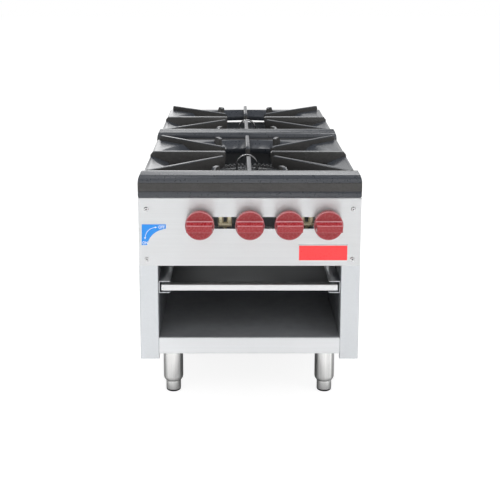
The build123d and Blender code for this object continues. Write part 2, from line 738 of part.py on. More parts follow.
def knob(x):
    """Round phenolic knob with a tapered grip bar right across its face."""
    body = turned([(0, -knob_face), (knob_radius - 1.5, -knob_face), (knob_radius, 1.5 - knob_face),
                   (knob_radius, -knob_back), (knob_hollow_radius, -knob_back),
                   (knob_hollow_radius, -knob_back - knob_hollow_depth),
                   (knob_hub_radius, -knob_back - knob_hollow_depth), (knob_hub_radius, -knob_back),
                   (0, -knob_back)], x, 0, knob_z, "y")
    bar = outline((1 - knob_face, -knob_bar_root), (-knob_face, -knob_bar_root),
                  (1.5 - knob_reach, -knob_bar_tip), (-knob_reach, 1.5 - knob_bar_tip),
                  (-knob_reach, knob_bar_tip - 1.5), (1.5 - knob_reach, knob_bar_tip),
                  (-knob_face, knob_bar_root), (1 - knob_face, knob_bar_root))
    plane = Plane(origin=(x - knob_radius, panel_y, knob_z), x_dir=(0, 1, 0), z_dir=(1, 0, 0))
    bar = extrude(plane * bar, amount=2 * knob_radius)
    bar &= tube_y(knob_radius, x, (-knob_reach - 1, 0), knob_z)
    bore = tube_y(stem_radius + running_gap / 2, x, (-knob_back - stem_grip, 0), knob_z)
    return body + bar - bore


def valve_stem(x):
    front = -knob_back - stem_grip + 1
    return tube_y(stem_radius, x, (front, valve_front + stem_seat), knob_z)


def burner_valve(x):
    """Brass valve: bonnet, plug barrel, outlet and the nipple into the manifold."""
    valve = tube_y(bonnet_radius, x, (valve_front, valve_front + bonnet_thickness), knob_z)
    barrel = turned([(0, 0), (valve_radius, 0), (valve_radius - 1.5, valve_length - 14),
                     (valve_port_radius, valve_length - 10), (valve_port_radius, valve_length),
                     (0, valve_length)], x, valve_front, knob_z, "y")
    nipple = tube_z(valve_port_radius, x, manifold_behind, (manifold_z + 10, knob_z))
    collar = extrude(Pos(x, panel_y + manifold_behind, manifold_z + manifold_radius + 1)
                     * RegularPolygon(9.0, 6), amount=6.0)
    valve = valve + barrel + nipple + collar
    bore = stem_radius + running_gap / 2
    valve -= tube_y(bore, x, (valve_front - 1, valve_front + stem_seat + 1), knob_z)
    return valve - tube_x(manifold_radius, (x - 20, x + 20), manifold_behind, manifold_z)


def hood(x, behind):
    """Hexagonal orifice hood with its nozzle pointing into a mixing drum."""
    plane = Plane(origin=(x, panel_y + behind + hood_length, knob_z), x_dir=(1, 0, 0), z_dir=(0, -1, 0))
    body = extrude(plane * RegularPolygon(hood_radius, 6), amount=hood_length)
    nozzle = turned([(0, 0), (nozzle_radius, 0), (nozzle_radius, nozzle_length - 3),
                     (2.0, nozzle_length), (0, nozzle_length)], x, behind + hood_length, knob_z, "y")
    return body + nozzle


def supply_pipe(valve_x, hood_x):
    """Rigid pipe from a valve, back beside the front burner and across to a rear hood."""
    start = valve_back
    end = hood_behind + grate_pitch
    turn = end - supply_turn
    path = FilletPolyline((valve_x, panel_y + start, knob_z), (valve_x, panel_y + turn, knob_z),
                          (hood_x, panel_y + turn, knob_z), (hood_x, panel_y + end, knob_z),
                          radius=supply_bend)
    face = Plane(origin=(valve_x, panel_y + start, knob_z), z_dir=(0, 1, 0)) * Circle(supply_radius)
    pipe = sweep(face, path=path)
    plane = Plane(origin=(valve_x, panel_y + start + 12, knob_z), x_dir=(1, 0, 0), z_dir=(0, -1, 0))
    return pipe + extrude(plane * RegularPolygon(9.5, 6), amount=12.0)


def pilot_valve(x, tube_side):
    """Small brass valve on the manifold: the tube's nut on one side, the adjuster's on the other."""
    z = manifold_z + manifold_radius + pilot_rise
    body = tube_x(pilot_body_radius, (x - pilot_body_half, x + pilot_body_half), manifold_behind, z)
    body += tube_z(4.5, x, manifold_behind, (manifold_z + 10, z))
    for side in (-1, 1):
        place = Pos(x + side * pilot_post_offset, panel_y + manifold_behind, z)
        body += extrude(place * RegularPolygon(pilot_post_radius, 6), amount=pilot_post_height)
    screw_x = x - tube_side * pilot_post_offset
    screw_top = z + pilot_post_height + 2.0
    body += tube_z(2.6, screw_x, manifold_behind, (z, screw_top))
    body -= block((screw_x - 3, screw_x + 3), (manifold_behind - 0.5, manifold_behind + 0.5),
                  (screw_top - 1.2, screw_top + 1))
    body -= tube_x(manifold_radius, (x - 20, x + 20), manifold_behind, manifold_z)
    return body


def pilot_tube(x, center_behind, side):
    """Thin tube from a pilot valve to the burner's middle, ending in an arch with a tip."""
    start_z = manifold_z + manifold_radius + pilot_rise + pilot_post_height
    run_z = burner_floor - burner_bar_thickness - pilot_tube_radius - 1.8
    rise_behind = center_behind + sum(burner_bar_behinds) / 2
    left = side * (pilot_arch_x - pilot_arch_radius)
    right = side * (pilot_arch_x + pilot_arch_radius)
    arch_z = pilot_arch_top - pilot_tube_radius - pilot_arch_radius
    y0 = panel_y + manifold_behind
    y1 = panel_y + rise_behind
    run = FilletPolyline((x, y0, start_z), (x, y0, run_z), (x, y1, run_z), (left, y1, run_z),
                         (left, y1, arch_z), radius=pilot_bend)
    top = (side * pilot_arch_x, y1, arch_z + pilot_arch_radius)
    arch = ThreePointArc((left, y1, arch_z), top, (right, y1, arch_z))
    face = Plane(origin=(x, y0, start_z), z_dir=(0, 0, 1)) * Circle(pilot_tube_radius)
    tube = sweep(face, path=Wire(run.edges() + arch.edges()))
    tip = turned([(0, -12), (2.6, -12), (3.6, -9), (3.6, 0), (0, 0)], right, rise_behind, arch_z, "z")
    return tube + tip


def gas_manifold():
    """Black pipe across the front, capped on the right, with an elbow on the left."""
    pipe = tube_x(manifold_radius, (inlet_x, manifold_end), manifold_behind, manifold_z)
    pipe += tube_x(elbow_radius, (manifold_end - 6, manifold_end + 6), manifold_behind, manifold_z)
    corner = Pos(inlet_x, panel_y + manifold_behind, manifold_z) * Sphere(elbow_radius)
    collar = tube_x(elbow_radius, (inlet_x, inlet_x + 20), manifold_behind, manifold_z)
    socket = tube_y(elbow_radius, inlet_x, (manifold_behind, manifold_behind + 20), manifold_z)
    return pipe + corner + collar + socket


def gas_inlet_pipe():
    """Supply pipe from the manifold's elbow to its threaded end behind the back panel."""
    end = body_depth + inlet_reach
    thread = end - inlet_thread_length
    return turned([(0, manifold_behind + 20), (manifold_radius, manifold_behind + 20),
                   (manifold_radius, thread), (inlet_thread_radius, thread),
                   (inlet_thread_radius, end), (0, end)], inlet_x, 0, manifold_z, "y")


def manifold_rail():
    """Angle from liner to liner that carries the manifold's clamps."""
    top = manifold_z - elbow_radius - 1.0
    front = manifold_behind - manifold_saddle
    rear = manifold_behind + manifold_saddle
    section = folded([(rear, top), (front, top), (front, top - manifold_rail_flange)], manifold_rail_sheet)
    return along_x(section, (-liner_inner, liner_inner))


def manifold_clamp(x):
    """Saddle clamp round the manifold."""
    top = manifold_z - elbow_radius - 1.0
    sides = (x - clamp_half_width, x + clamp_half_width)
    half_base = manifold_saddle - 2
    ring = tube_x(manifold_radius + clamp_band, sides, manifold_behind, manifold_z)
    base = block(sides, (manifold_behind - half_base, manifold_behind + half_base), (top, top + 4))
    neck = block(sides, (manifold_behind - 6, manifold_behind + 6), (top, manifold_z))
    return ring + base + neck - tube_x(manifold_radius, (x - 10, x + 10), manifold_behind, manifold_z)


def orifice_bracket():
    """Strip from liner to liner that holds the rear pipes at their hoods."""
    behind = hood_behind + grate_pitch - 6
    strip = block((-liner_inner, liner_inner), (behind, behind + bracket_sheet),
                  (knob_z - bracket_half_height, knob_z + bracket_half_height))
    for index in front_valve_indices:
        strip -= tube_y(supply_radius + 0.1, knob_xs[index], (behind - 1, behind + 3), knob_z)
    return strip


right_side = side_panel()
save("right_side_panel", right_side)
save("left_side_panel", mirrored(right_side))
save("control_panel", control_panel())
front_screws = [pan_head_screw(side * screw_side, 0, z, front_screw_length, 1)
                for side in (-1, 1) for z in screw_heights]
rear_screws = [pan_head_screw(side * rear_screw_side, body_depth, z, rear_screw_length, -1)
               for side in (-1, 1) for z in rear_screw_heights]
save("control_panel_screws", *front_screws)
save("back_panel", back_panel())
save("back_panel_screws", *rear_screws)
save("lower_front_rail", lower_front_rail())
save("bottom_shelf", bottom_shelf())
right_channel = base_channel()
save("right_base_channel", right_channel)
save("left_base_channel", mirrored(right_channel))
right_liner = liner()
save("right_liner", right_liner)
save("left_liner", mirrored(right_liner))
right_rail = tray_rail()
save("right_tray_rail", right_rail)
save("left_tray_rail", mirrored(right_rail))
save("crumb_tray", crumb_tray())

bolts = []
for end_name, behind in (("front", leg_behind), ("rear", body_depth - leg_behind)):
    for side_name, x in (("left", -leg_side), ("right", leg_side)):
        save(f"{end_name}_{side_name}_leg", leg(x, behind))
        save(f"{end_name}_{side_name}_foot", foot(x, behind))
        bolts += [leg_bolt(*place) for place in leg_bolt_places(x, behind)]
save("leg_bolts", *bolts)

front_grate = grate(bowl_behind)
save("front_grate", front_grate)
save("rear_grate", Pos(0, grate_pitch, 0) * front_grate)
save("middle_grate_support", middle_grate_support())

inner_x, outer_x = [knob_xs[index] for index in front_valve_indices]
for end_name, behind in (("front", bowl_behind), ("rear", bowl_behind + grate_pitch)):
    save(f"{end_name}_inner_burner", ring_burner(behind, inner_ring_radius, inner_ring_width, inner_x))
    save(f"{end_name}_outer_burner", ring_burner(behind, outer_ring_radius, outer_ring_width, outer_x))
    save(f"{end_name}_inner_air_shutter", air_shutter(behind, inner_x))
    save(f"{end_name}_outer_air_shutter", air_shutter(behind, outer_x))
    save(f"{end_name}_burner_bars", *[burner_bar(behind, offset) for offset in burner_bar_behinds])

valve_names = ("rear_inner", "front_inner", "front_outer", "rear_outer")
for name, x in zip(valve_names, knob_xs):
    save(f"{name}_knob", knob(x))
    save(f"{name}_valve_stem", valve_stem(x))
    save(f"{name}_valve", burner_valve(x))
save("orifice_hoods", hood(inner_x, hood_behind), hood(outer_x, hood_behind),
     hood(inner_x, hood_behind + grate_pitch), hood(outer_x, hood_behind + grate_pitch))
save("rear_supply_pipes", supply_pipe(knob_xs[0], inner_x), supply_pipe(knob_xs[3], outer_x))
save("orifice_bracket", orifice_bracket())
save("front_pilot_valve", pilot_valve(pilot_xs[0], 1))
save("rear_pilot_valve", pilot_valve(pilot_xs[1], -1))
save("front_pilot_tube", pilot_tube(pilot_xs[0] + pilot_post_offset, bowl_behind, 1))
save("rear_pilot_tube", pilot_tube(pilot_xs[1] - pilot_post_offset, bowl_behind + grate_pitch, -1))
save("gas_manifold", gas_manifold())
save("gas_inlet_pipe", gas_inlet_pipe())
save("manifold_rail", manifold_rail())
save("manifold_clamps", manifold_clamp(clamp_xs[0]), manifold_clamp(clamp_xs[1]))
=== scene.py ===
import bpy, bmesh, json, math
from mathutils import Matrix, Vector


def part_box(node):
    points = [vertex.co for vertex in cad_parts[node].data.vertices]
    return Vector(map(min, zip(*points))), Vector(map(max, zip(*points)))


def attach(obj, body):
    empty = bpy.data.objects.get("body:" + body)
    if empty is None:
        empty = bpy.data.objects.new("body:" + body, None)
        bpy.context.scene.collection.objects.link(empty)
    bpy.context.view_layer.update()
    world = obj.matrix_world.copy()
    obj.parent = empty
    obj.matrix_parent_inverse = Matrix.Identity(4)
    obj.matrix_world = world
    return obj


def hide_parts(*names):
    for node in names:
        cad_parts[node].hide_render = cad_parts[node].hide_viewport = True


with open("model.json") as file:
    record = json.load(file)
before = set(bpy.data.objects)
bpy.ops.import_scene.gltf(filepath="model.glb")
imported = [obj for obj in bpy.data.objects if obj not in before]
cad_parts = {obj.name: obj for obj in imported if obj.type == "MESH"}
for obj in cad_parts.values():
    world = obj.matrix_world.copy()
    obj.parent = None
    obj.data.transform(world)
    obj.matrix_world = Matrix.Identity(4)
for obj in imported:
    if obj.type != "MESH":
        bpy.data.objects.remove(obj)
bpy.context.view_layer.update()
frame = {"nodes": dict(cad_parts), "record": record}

mm = 0.001
nodes = frame["nodes"]
bodyOf = {n: b for b, names in frame["record"]["behaviour"]["bodies"].items() for n in names}
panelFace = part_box("control_panel")[0][1]  # y of the control panel's front
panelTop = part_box("control_panel")[1][2]
print("frame loaded:", len(nodes), "nodes")

# camera: placed from the photograph's perspective, distances from the panel's face
cameraSetup = {"side": -29.7, "inFront": 1994.9, "height": 916.8, "pitchDown": 10.95, "lens": 72.25,
               "sensor": 36.0, "shiftX": 0.0295, "shiftY": -0.1852, "reach": 50.0}
cameraData = bpy.data.cameras.new("camera")
cameraData.lens = cameraSetup["lens"]
cameraData.sensor_width = cameraSetup["sensor"]
cameraData.shift_x = cameraSetup["shiftX"]
cameraData.shift_y = cameraSetup["shiftY"]
cameraData.clip_end = cameraSetup["reach"]
camera = bpy.data.objects.new("camera", cameraData)
camera.location = (cameraSetup["side"] * mm, panelFace - cameraSetup["inFront"] * mm,
                   cameraSetup["height"] * mm)
camera.rotation_euler = (math.radians(90 - cameraSetup["pitchDown"]), 0, 0)
bpy.context.scene.collection.objects.link(camera)
bpy.context.scene.camera = camera
bpy.context.scene.view_settings.view_transform = "Standard"
print("camera placed")


# small helpers for node trees
def startMaterial(name, colour, roughness, metallic=0.0):
    material = bpy.data.materials.new(name)
    material.use_nodes = True
    shader = material.node_tree.nodes["Principled BSDF"]
    shader.inputs["Base Color"].default_value = (*colour, 1)
    shader.inputs["Roughness"].default_value = roughness
    shader.inputs["Metallic"].default_value = metallic
    return material, material.node_tree, shader


def addNode(tree, kind, values=None, **settings):
    node = tree.nodes.new("ShaderNode" + kind)
    for key, value in settings.items():
        setattr(node, key, value)
    for key, value in (values or {}).items():
        node.inputs[key].default_value = value
    return node


def stretchedCoords(tree, scale=(1, 1, 1)):
    # object coordinates, scaled per axis, so a noise can run along a grain
    coords = addNode(tree, "TexCoord")
    mapping = addNode(tree, "Mapping", {"Scale": scale})
    tree.links.new(coords.outputs["Object"], mapping.inputs["Vector"])
    return mapping.outputs["Vector"]


def noiseFrom(tree, coords, scale, detail=3.0, roughness=0.55):
    noise = addNode(tree, "TexNoise", {"Scale": scale, "Detail": detail, "Roughness": roughness})
    tree.links.new(coords, noise.inputs["Vector"])
    return noise.outputs["Fac"]


def rampFrom(tree, factor, stops):
    # stops are (position, colour) pairs
    ramp = addNode(tree, "ValToRGB")
    elements = ramp.color_ramp.elements
    while len(elements) < len(stops):
        elements.new(0.5)
    for element, (position, colour) in zip(elements, stops):
        element.position = position
        element.color = (*colour, 1)
    tree.links.new(factor, ramp.inputs["Fac"])
    return ramp.outputs["Color"]


def rangeFrom(tree, factor, low, high, fromLow=0.3, fromHigh=0.7):
    remap = addNode(tree, "MapRange", {"From Min": fromLow, "From Max": fromHigh,
                                       "To Min": low, "To Max": high})
    tree.links.new(factor, remap.inputs["Value"])
    return remap.outputs["Result"]


def shaded(colour, share):
    return tuple(c * share for c in colour)


def shadedRamp(tree, factor, colour, stops):
    # stops are (position, share of the colour) pairs
    return rampFrom(tree, factor, [(position, shaded(colour, share)) for position, share in stops])


def blendColours(tree, factor, first, second, mode="MIX"):
    # a Mix node has its factor on socket 0 and its colours on 6 and 7
    mix = addNode(tree, "Mix", data_type="RGBA", blend_type=mode)
    for source, socket in ((factor, 0), (first, 6), (second, 7)):
        if hasattr(source, "links"):
            tree.links.new(source, mix.inputs[socket])
        else:
            mix.inputs[socket].default_value = source if socket == 0 else (*source, 1)
    return mix.outputs[2]


def blendValues(tree, factor, first, second):
    # a Mix node has its two plain values on sockets 2 and 3
    mix = addNode(tree, "Mix", data_type="FLOAT")
    for source, socket in ((factor, 0), (first, 2), (second, 3)):
        tree.links.new(source, mix.inputs[socket])
    return mix.outputs[0]


def bumpFrom(tree, height, strength, distance, before=None):
    # strength is a number, or a socket where it changes over the surface
    bump = addNode(tree, "Bump", {"Distance": distance})
    if hasattr(strength, "links"):
        tree.links.new(strength, bump.inputs["Strength"])
    else:
        bump.inputs["Strength"].default_value = strength
    tree.links.new(height, bump.inputs["Height"])
    if before:
        tree.links.new(before, bump.inputs["Normal"])
    return bump.outputs["Normal"]


def mathFrom(tree, operation, first, second=None):
    # each of the two values is a number or a socket
    node = addNode(tree, "Math", operation=operation)
    for socket, value in enumerate((first, second)):
        if hasattr(value, "links"):
            tree.links.new(value, node.inputs[socket])
        elif value is not None:
            node.inputs[socket].default_value = value
    return node.outputs[0]


def tintWhere(material, where, colour):
    # lays a colour over what the material has so far
    tree = material.node_tree
    base = tree.nodes["Principled BSDF"].inputs["Base Color"]
    tree.links.new(blendColours(tree, where, base.links[0].from_socket, colour), base)


# finishes
fineRelief = 0.0003  # depth of the finest bumps, in metres
brushedSettings = {"colour": (0.83, 0.84, 0.85), "roughness": (0.38, 0.45), "anisotropic": 0.92,
                   "turn": 0.25, "grainFine": 2600.0, "grainLong": 14.0, "streakShade": 0.96,
                   "relief": 0.02, "bandFine": 200.0, "bandLong": 2.0, "smudgeScale": 9.0,
                   "smudge": 0.06, "smudgeShade": 0.86}


def brushedSteel(name, colour, grain, roughness=brushedSettings["roughness"],
                 turn=brushedSettings["turn"], anisotropic=brushedSettings["anisotropic"], bands=0.97):
    # fine streaks and wider bands along the grain's axis, with faint smudges
    # bands is how much brightness the darkest band keeps
    settings = brushedSettings
    material, tree, shader = startMaterial(name, colour, roughness[0], 1.0)
    fine = [settings["grainFine"]] * 3
    wide = [settings["bandFine"]] * 3
    axis = "xyz".index(grain)
    fine[axis], wide[axis] = settings["grainLong"], settings["bandLong"]
    streaks = noiseFrom(tree, stretchedCoords(tree, fine), 1.0, 2.0)
    shade = blendColours(tree, rangeFrom(tree, streaks, 0.0, 1.0), shaded(colour, settings["streakShade"]),
                         colour)
    band = rangeFrom(tree, noiseFrom(tree, stretchedCoords(tree, wide), 1.0, 3.0), bands, 1.0)
    shade = blendColours(tree, band, (0.0, 0.0, 0.0), shade)
    broad = noiseFrom(tree, stretchedCoords(tree), settings["smudgeScale"], 4.0)
    smudge = rangeFrom(tree, broad, 1.0 - settings["smudge"], 1.0)
    tone = blendColours(tree, smudge, shaded(colour, settings["smudgeShade"]), shade)
    tree.links.new(tone, shader.inputs["Base Color"])
    tree.links.new(rangeFrom(tree, streaks, *roughness), shader.inputs["Roughness"])
    shader.inputs["Anisotropic"].default_value = anisotropic
    shader.inputs["Anisotropic Rotation"].default_value = turn
    tangent = addNode(tree, "Tangent", direction_type="RADIAL", axis="Z")
    tree.links.new(tangent.outputs["Tangent"], shader.inputs["Tangent"])
    tree.links.new(bumpFrom(tree, streaks, settings["relief"], fineRelief), shader.inputs["Normal"])
    return material


# a ramp holds (place in the noise, share of the colour) pairs, and From and To are places in a noise
castSettings = {"grainScale": 900.0, "lumpScale": 170.0, "patchScale": 16.0, "specular": 0.7,
                "castRamp": ((0.34, 0.45), (0.5, 1.0), (0.7, 2.6)), "patch": 0.7, "patchShare": 0.5,
                "groundRamp": ((0.3, 0.9), (0.55, 1.0), (0.8, 1.12)), "spark": 1.8, "sparkShare": 0.12,
                "sparkFrom": 0.5, "sparkTo": 0.75, "soot": (0.012, 0.012, 0.013), "sootShare": 0.8,
                "sootFrom": 0.45, "sootTo": 0.65, "groundGloss": (0.26, 0.33), "castGloss": (0.5, 0.72),
                "groundRelief": 0.03, "lumpRelief": 0.3, "grainRelief": 0.4, "lumpDepth": 0.0009,
                "grainDepth": 0.0004}


def castIron(name, smoothColour, roughColour, burnt=False):
    # ground skin and sand-cast skin, told apart by the mesh's "sandCast" face attribute
    settings = castSettings
    material, tree, shader = startMaterial(name, smoothColour, 0.4)
    coords = stretchedCoords(tree)
    grain = noiseFrom(tree, coords, settings["grainScale"], 3.0, 0.65)
    lumps = noiseFrom(tree, coords, settings["lumpScale"], 4.0, 0.6)
    patches = noiseFrom(tree, coords, settings["patchScale"], 3.0)
    skin = addNode(tree, "Attribute", attribute_name="sandCast").outputs["Fac"]
    cast = blendColours(tree, rangeFrom(tree, patches, 0.0, settings["patchShare"]),
                        shadedRamp(tree, grain, roughColour, settings["castRamp"]),
                        shaded(roughColour, settings["patch"]))
    sparks = rangeFrom(tree, grain, 0.0, settings["sparkShare"], settings["sparkFrom"], settings["sparkTo"])
    ground = blendColours(tree, sparks, shadedRamp(tree, lumps, smoothColour, settings["groundRamp"]),
                          shaded(smoothColour, settings["spark"]))
    tone = blendColours(tree, skin, ground, cast)
    if burnt:
        soot = rangeFrom(tree, patches, 0.0, settings["sootShare"], settings["sootFrom"],
                         settings["sootTo"])
        tone = blendColours(tree, soot, tone, settings["soot"])
    tree.links.new(tone, shader.inputs["Base Color"])
    gloss = blendValues(tree, skin, rangeFrom(tree, lumps, *settings["groundGloss"]),
                        rangeFrom(tree, lumps, *settings["castGloss"]))
    tree.links.new(gloss, shader.inputs["Roughness"])
    shader.inputs["Specular IOR Level"].default_value = settings["specular"]
    waves = rangeFrom(tree, skin, settings["groundRelief"], settings["lumpRelief"], 0.0, 1.0)
    rough = rangeFrom(tree, skin, settings["groundRelief"], settings["grainRelief"], 0.0, 1.0)
    waved = bumpFrom(tree, lumps, waves, settings["lumpDepth"])
    tree.links.new(bumpFrom(tree, grain, rough, settings["grainDepth"], waved), shader.inputs["Normal"])
    return material


dustSettings = {"colour": (0.32, 0.32, 0.31), "strength": 0.8, "hazeScale": 7.0, "hazeFrom": 0.35,
                "hazeTo": 0.7, "haze": 1.35, "cloudScale": 60.0, "roughness": (0.36, 0.5),
                "rippleScale": 800.0, "relief": 0.1,
                "specks": ({"scale": 42.0, "reach": 0.035, "share": 0.62},
                           {"scale": 110.0, "reach": 0.05, "share": 0.66})}


def blackSheet(name, colour):
    material, tree, shader = startMaterial(name, colour, 0.45)
    coords = stretchedCoords(tree)
    haze = noiseFrom(tree, coords, dustSettings["hazeScale"], 5.0, 0.6)
    haze = rangeFrom(tree, haze, 0.0, 1.0, dustSettings["hazeFrom"], dustSettings["hazeTo"])
    tone = blendColours(tree, haze, colour, shaded(colour, dustSettings["haze"]))
    for speck in dustSettings["specks"]:
        # small dots round the cells of a Voronoi pattern, where a noise lets them
        cells = addNode(tree, "TexVoronoi", {"Scale": speck["scale"], "Randomness": 1.0}, feature="F1")
        tree.links.new(coords, cells.inputs["Vector"])
        dots = rangeFrom(tree, cells.outputs["Distance"], 1.0, 0.0, speck["reach"] * 0.5, speck["reach"])
        allowed = rangeFrom(tree, noiseFrom(tree, coords, speck["scale"] * 0.4, 2.0), 0.0, 1.0,
                            speck["share"] - 0.02, speck["share"])
        some = mathFrom(tree, "MULTIPLY", dots, allowed)
        strength = mathFrom(tree, "MULTIPLY", some, dustSettings["strength"])
        tone = blendColours(tree, strength, tone, dustSettings["colour"])
    tree.links.new(tone, shader.inputs["Base Color"])
    cloud = noiseFrom(tree, coords, dustSettings["cloudScale"], 3.0)
    tree.links.new(rangeFrom(tree, cloud, *dustSettings["roughness"]), shader.inputs["Roughness"])
    ripple = noiseFrom(tree, coords, dustSettings["rippleScale"], 2.0)
    tree.links.new(bumpFrom(tree, ripple, dustSettings["relief"], fineRelief), shader.inputs["Normal"])
    return material


phenolicSettings = {"dark": (0.258, 0.0155, 0.0205), "colour": (0.272, 0.018, 0.024),
                    "light": (0.292, 0.023, 0.029), "stops": (0.3, 0.55, 0.8), "flowScale": 120.0,
                    "flowSquash": (1, 1, 2.5), "paintedHighlight": (0.72, 0.42, 0.46), "cloudScale": 300.0,
                    "roughness": (0.22, 0.32), "specular": 0.35, "coat": 0.25, "coatRoughness": 0.1}


def redPhenolic():
    settings = phenolicSettings
    material, tree, shader = startMaterial("redPhenolic", settings["colour"], 0.3)
    coords = stretchedCoords(tree)
    flow = noiseFrom(tree, stretchedCoords(tree, settings["flowSquash"]), settings["flowScale"], 4.0)
    tones = (settings["dark"], settings["colour"], settings["light"])
    tone = rampFrom(tree, flow, list(zip(settings["stops"], tones)))
    # painted highlights on the radii, marked on the mesh
    paintedHighlight = addNode(tree, "Attribute", attribute_name="highlightEdge").outputs["Fac"]
    tree.links.new(blendColours(tree, paintedHighlight, tone, settings["paintedHighlight"]), shader.inputs["Base Color"])
    cloud = noiseFrom(tree, coords, settings["cloudScale"])
    tree.links.new(rangeFrom(tree, cloud, *settings["roughness"]), shader.inputs["Roughness"])
    shader.inputs["Specular IOR Level"].default_value = settings["specular"]
    shader.inputs["Coat Weight"].default_value = settings["coat"]
    shader.inputs["Coat Roughness"].default_value = settings["coatRoughness"]
    return material


# gloss holds shares of the roughness that a metal or a print is given
metalSettings = {"cloudScale": 60.0, "gloss": (0.8, 1.35), "relief": 0.1}
printSettings = {"cloudScale": 150.0, "fade": 0.93, "dust": 0.004, "grainScale": 400.0, "gloss": (0.85, 1.2)}


def machinedMetal(name, colour, roughness, scale=420.0, paleness=0.8, metallic=1.0):
    # a cloudy bare metal; its darkest clouds keep the given share of brightness
    material, tree, shader = startMaterial(name, colour, roughness, metallic)
    coords = stretchedCoords(tree)
    cloud = noiseFrom(tree, coords, metalSettings["cloudScale"], 4.0)
    tone = blendColours(tree, rangeFrom(tree, cloud, 0.0, 1.0), shaded(colour, paleness), colour)
    tree.links.new(tone, shader.inputs["Base Color"])
    low, high = metalSettings["gloss"]
    tree.links.new(rangeFrom(tree, cloud, roughness * low, roughness * high), shader.inputs["Roughness"])
    grain = noiseFrom(tree, coords, scale, 2.0)
    tree.links.new(bumpFrom(tree, grain, metalSettings["relief"], fineRelief), shader.inputs["Normal"])
    return material


def printedFilm(name, colour, roughness=0.35):
    material, tree, shader = startMaterial(name, colour, roughness)
    coords = stretchedCoords(tree)
    cloud = rangeFrom(tree, noiseFrom(tree, coords, printSettings["cloudScale"], 3.0), 0.0, 1.0)
    faded = tuple(c * printSettings["fade"] + printSettings["dust"] for c in colour)
    tree.links.new(blendColours(tree, cloud, colour, faded), shader.inputs["Base Color"])
    grain = noiseFrom(tree, coords, printSettings["grainScale"])
    low, high = printSettings["gloss"]
    tree.links.new(rangeFrom(tree, grain, roughness * low, roughness * high), shader.inputs["Roughness"])
    return material


steelColour = brushedSettings["colour"]
finish = {
    "stainless_sheet": brushedSteel("stainlessSheet", steelColour, "x"),
    "sideSheet": brushedSteel("sideSheet", (0.80, 0.825, 0.85), "y"),
    "railSheet": brushedSteel("railSheet", (0.92, 0.935, 0.95), "x"),
    "backSheet": brushedSteel("backSheet", steelColour, "x"),
    "tray_sheet": brushedSteel("traySheet", (0.75, 0.755, 0.76), "x", (0.36, 0.48),
                               turn=0.0, anisotropic=0.0),
    "leg_tube": brushedSteel("legTube", (0.89, 0.89, 0.88), "z", (0.17, 0.25),
                             turn=0.0, anisotropic=0.0, bands=0.72),
    "footSteel": brushedSteel("footSteel", (0.92, 0.92, 0.91), "z", (0.2, 0.3),
                              turn=0.0, anisotropic=0.0, bands=0.85),
    "black_sheet": blackSheet("blackSheet", (0.085, 0.09, 0.098)),
    # the shelf's black paint drawn lighter, as painted light for the dim cabinet floor
    "shelfSheet": blackSheet("shelfSheet", (0.18, 0.186, 0.197)),
    "cast_iron": castIron("castIron", (0.028, 0.032, 0.040), (0.030, 0.029, 0.028)),
    "burner_iron": castIron("burnerIron", (0.045, 0.05, 0.056), (0.045, 0.045, 0.047), burnt=True),
    "red_phenolic": redPhenolic(),
    "brass": machinedMetal("brass", (1.0, 0.90, 0.62), 0.24, paleness=0.95, metallic=0.3),
    "plated_steel": machinedMetal("platedSteel", (0.78, 0.78, 0.785), 0.24, metallic=0.8),
    "black_pipe": machinedMetal("blackPipe", (0.03, 0.03, 0.032), 0.5, scale=600.0, paleness=0.6),
    "aluminium_tube": machinedMetal("aluminiumTube", (0.3, 0.3, 0.305), 0.22),
}


# each foot darker at its bottom, burnt grease on the tray's floor, and painted light on the shelf, lighter
# towards the cabinet's back
films = {
    "footSteel": {"axis": "Z", "start": 5.6 * mm, "reach": -1.4 * mm, "colour": (0.02, 0.02, 0.02),
                  "share": 1.0},
    "tray_sheet": {"axis": "Y", "start": panelFace + 16 * mm, "reach": 8 * mm,
                   "colour": (0.25, 0.26, 0.27), "share": 0.9},
    # painted light: the shelf grows lighter towards the cabinet's back, where it lies in shade
    "shelfSheet": {"axis": "Y", "start": panelFace + 100 * mm, "reach": 500 * mm,
                   "colour": (0.34, 0.35, 0.37), "share": 0.6},
}
for name, film in films.items():
    # each grows over its reach along one axis
    tree = finish[name].node_tree
    place = addNode(tree, "SeparateXYZ")
    tree.links.new(addNode(tree, "TexCoord").outputs["Object"], place.inputs[0])
    where = rangeFrom(tree, place.outputs[film["axis"]], 0.0, film["share"], film["start"],
                      film["start"] + film["reach"])
    tintWhere(finish[name], where, film["colour"])

# darker on the back panel's face that looks forwards, into the burner box
forwardFaceTint = {"colour": (0.16, 0.17, 0.19), "share": 0.9, "fullAt": -0.9, "noneAt": -0.4}
tree = finish["backSheet"].node_tree
facing = addNode(tree, "SeparateXYZ")
tree.links.new(addNode(tree, "NewGeometry").outputs["True Normal"], facing.inputs[0])
where = rangeFrom(tree, facing.outputs["Y"], forwardFaceTint["share"], 0.0, forwardFaceTint["fullAt"], forwardFaceTint["noneAt"])
tintWhere(finish["backSheet"], where, forwardFaceTint["colour"])

slotOf = {part["node"]: part["material_slot"] for part in frame["record"]["subparts"]}
ownFinish = {"lower_front_rail": "railSheet", "bottom_shelf": "shelfSheet", "back_panel": "backSheet",
             "left_side_panel": "sideSheet", "right_side_panel": "sideSheet",
             "left_tray_rail": "sideSheet", "right_tray_rail": "sideSheet"}
for name, node in nodes.items():
    node.data.materials.clear()
    node.data.materials.append(finish[ownFinish.get(name, slotOf[name])])
print("finishes made:", len(finish))


# small helpers for pieces
def addPiece(name, mesh, body, material, smooth=True):
    piece = bpy.data.objects.new(name, mesh)
    bpy.context.scene.collection.objects.link(piece)
    mesh.materials.clear()
    mesh.materials.append(material)
    for face in mesh.polygons:
        face.use_smooth = smooth
    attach(piece, body)
    return piece


